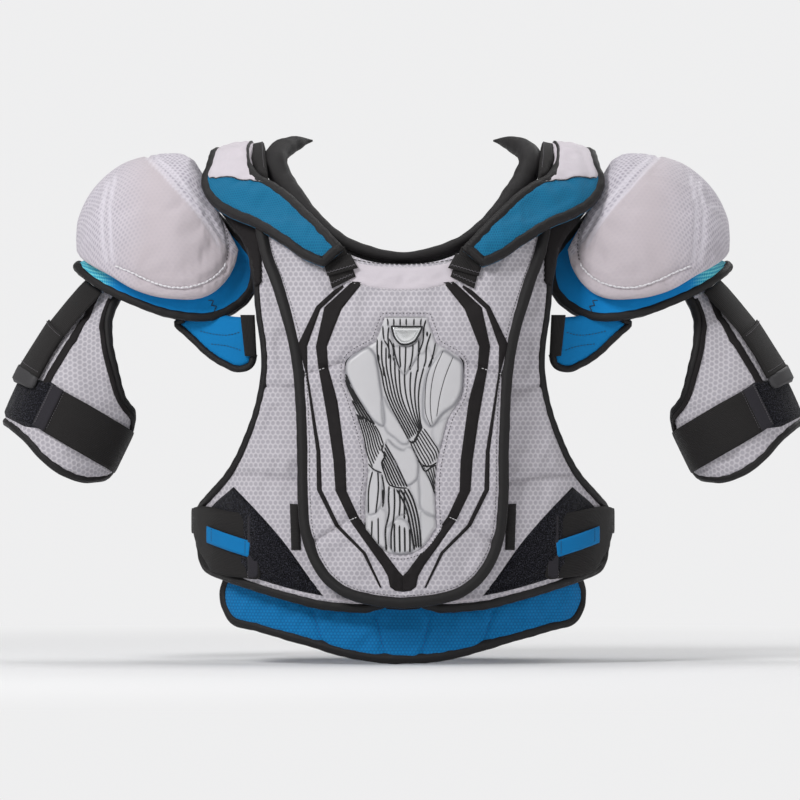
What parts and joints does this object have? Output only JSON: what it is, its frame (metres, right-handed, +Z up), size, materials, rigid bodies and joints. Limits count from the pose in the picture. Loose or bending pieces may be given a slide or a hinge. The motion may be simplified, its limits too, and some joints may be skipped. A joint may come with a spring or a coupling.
{
  "type": "hockey shoulder pads",
  "caption": "Senior ice hockey shoulder pads, worn shape: padded chest and back panels, sternum pad with moulded insert, shoulder caps, collar guards, bicep guards and waist straps.",
  "frame": {"origin": "centre of the bounding box in X and Y, at the level of the lowest hem (the belly pad's point)", "axes": "+Z up as worn, -Y the front of the garment (chest), +X towards the wearer's left arm"},
  "size_m": [0.7608, 0.298, 0.5003],
  "materials": {
    "mesh_grey": "light grey knitted hexagon mesh over foam",
    "lining_black": "brushed black lining over foam",
    "plate_plastic": "moulded dark polyethylene plate",
    "moulded_grey": "smooth moulded light grey",
    "badge_silver": "bright silver-coated plastic",
    "black_trim": "black stretch binding over foam",
    "blue_mesh": "blue knitted mesh over foam",
    "black_webbing": "ribbed black elastic webbing",
    "loop_pile": "black brushed loop pile"
  },
  "bodies": {
    "chest": {"chest_panel_right": "mesh_grey", "chest_panel_left": "mesh_grey", "sternum_keeper_right": "black_webbing", "sternum_keeper_left": "black_webbing", "waist_loop_patch_right": "loop_pile", "waist_loop_patch_left": "loop_pile", "shoulder_yoke_right": "mesh_grey", "shoulder_yoke_left": "mesh_grey", "front_lining": "lining_black", "neck_roll_front": "black_trim"},
    "sternum": {"sternum_foam": "lining_black", "sternum_plate": "plate_plastic", "sternum_pad": "mesh_grey", "sternum_insert": "moulded_grey", "sternum_badge": "badge_silver", "collar_strap_right": "black_webbing", "collar_strap_left": "black_webbing"},
    "back": {"back_panel_right": "mesh_grey", "back_panel_left": "mesh_grey", "side_elastic_right": "black_webbing", "side_elastic_left": "black_webbing", "back_lining": "lining_black", "spine_foam": "lining_black", "spine_plate": "plate_plastic", "spine_pad": "mesh_grey", "spine_cover": "moulded_grey", "neck_roll_back": "black_trim"},
    "belly": {"belly_pad": "blue_mesh"},
    "kidney": {"kidney_pad": "blue_mesh"},
    "collar_right": {"collar_guard_right": "blue_mesh"},
    "cap_right": {"cap_pad_right": "mesh_grey", "cap_shell_right": "plate_plastic", "cap_liner_right": "blue_mesh", "cap_hinge_web_right": "black_webbing", "underarm_flap_right": "blue_mesh", "flap_elastic_right": "black_webbing"},
    "bicep_right": {"bicep_pad_right": "mesh_grey", "bicep_plate_right": "plate_plastic", "bicep_loop_patch_right": "loop_pile", "bicep_strap_back_right": "black_webbing", "bicep_hanger_right": "black_webbing"},
    "bicep_strap_right": {"bicep_strap_right": "black_webbing"},
    "waist_tab_right": {"waist_hook_tab_right": "black_webbing", "waist_pull_loop_right": "blue_mesh"},
    "collar_left": {"collar_guard_left": "blue_mesh"},
    "cap_left": {"cap_pad_left": "mesh_grey", "cap_shell_left": "plate_plastic", "cap_liner_left": "blue_mesh", "cap_hinge_web_left": "black_webbing", "underarm_flap_left": "blue_mesh", "flap_elastic_left": "black_webbing"},
    "bicep_left": {"bicep_pad_left": "mesh_grey", "bicep_plate_left": "plate_plastic", "bicep_loop_patch_left": "loop_pile", "bicep_strap_back_left": "black_webbing", "bicep_hanger_left": "black_webbing"},
    "bicep_strap_left": {"bicep_strap_left": "black_webbing"},
    "waist_tab_left": {"waist_hook_tab_left": "black_webbing", "waist_pull_loop_left": "blue_mesh"}
  },
  "joints": [
    {"name": "back_flex", "type": "hinge", "parent": "chest", "child": "back", "pos_m": [0, 0.046, 0.443], "axis": [1, 0, 0], "range_deg": [0, 8]},
    {"name": "sternum_lift", "type": "hinge", "parent": "chest", "child": "sternum", "pos_m": [0, -0.09, 0.421], "axis": [-1, 0, 0], "range_deg": [0, 3]},
    {"name": "belly_flex", "type": "hinge", "parent": "chest", "child": "belly", "pos_m": [0, -0.108, 0.059], "axis": [-1, 0, 0], "range_deg": [-10, 12]},
    {"name": "kidney_flex", "type": "hinge", "parent": "back", "child": "kidney", "pos_m": [0, 0.108, 0.059], "axis": [1, 0, 0], "range_deg": [-10, 12]},
    {"name": "collar_lift_right", "type": "hinge", "parent": "chest", "child": "collar_right", "pos_m": [-0.14, 0.01, 0.476], "axis": [-1, 0, 0], "range_deg": [0, 8]},
    {"name": "collar_lift_left", "type": "hinge", "parent": "chest", "child": "collar_left", "pos_m": [0.14, 0.01, 0.476], "axis": [-1, 0, 0], "range_deg": [0, 8]},
    {"name": "cap_raise_right", "type": "hinge", "parent": "chest", "child": "cap_right", "pos_m": [-0.19, 0, 0.481], "axis": [0, 1, 0], "range_deg": [0, 40]},
    {"name": "cap_raise_left", "type": "hinge", "parent": "chest", "child": "cap_left", "pos_m": [0.19, 0, 0.481], "axis": [0, -1, 0], "range_deg": [0, 40]},
    {"name": "bicep_swing_right", "type": "hinge", "parent": "cap_right", "child": "bicep_right", "pos_m": [-0.26087, 0, 0.34118], "axis": [-0.9003, 0, 0.4352], "range_deg": [-12, 25]},
    {"name": "bicep_swing_left", "type": "hinge", "parent": "cap_left", "child": "bicep_left", "pos_m": [0.26087, 0, 0.34118], "axis": [-0.9003, 0, -0.4352], "range_deg": [-12, 25]},
    {"name": "bicep_strap_open_right", "type": "hinge", "parent": "bicep_right", "child": "bicep_strap_right", "pos_m": [-0.26277, 0.00366, 0.19965], "axis": [0.4352, 0, 0.9003], "range_deg": [0, 100]},
    {"name": "bicep_strap_open_left", "type": "hinge", "parent": "bicep_left", "child": "bicep_strap_left", "pos_m": [0.26277, 0.00366, 0.19965], "axis": [0.4352, 0, -0.9003], "range_deg": [0, 100]},
    {"name": "waist_tab_open_right", "type": "hinge", "parent": "chest", "child": "waist_tab_right", "pos_m": [-0.199, -0.0245, 0.114], "axis": [0, 0, -1], "range_deg": [0, 100]},
    {"name": "waist_tab_open_left", "type": "hinge", "parent": "chest", "child": "waist_tab_left", "pos_m": [0.199, -0.0245, 0.114], "axis": [0, 0, 1], "range_deg": [0, 100]}
  ]
}
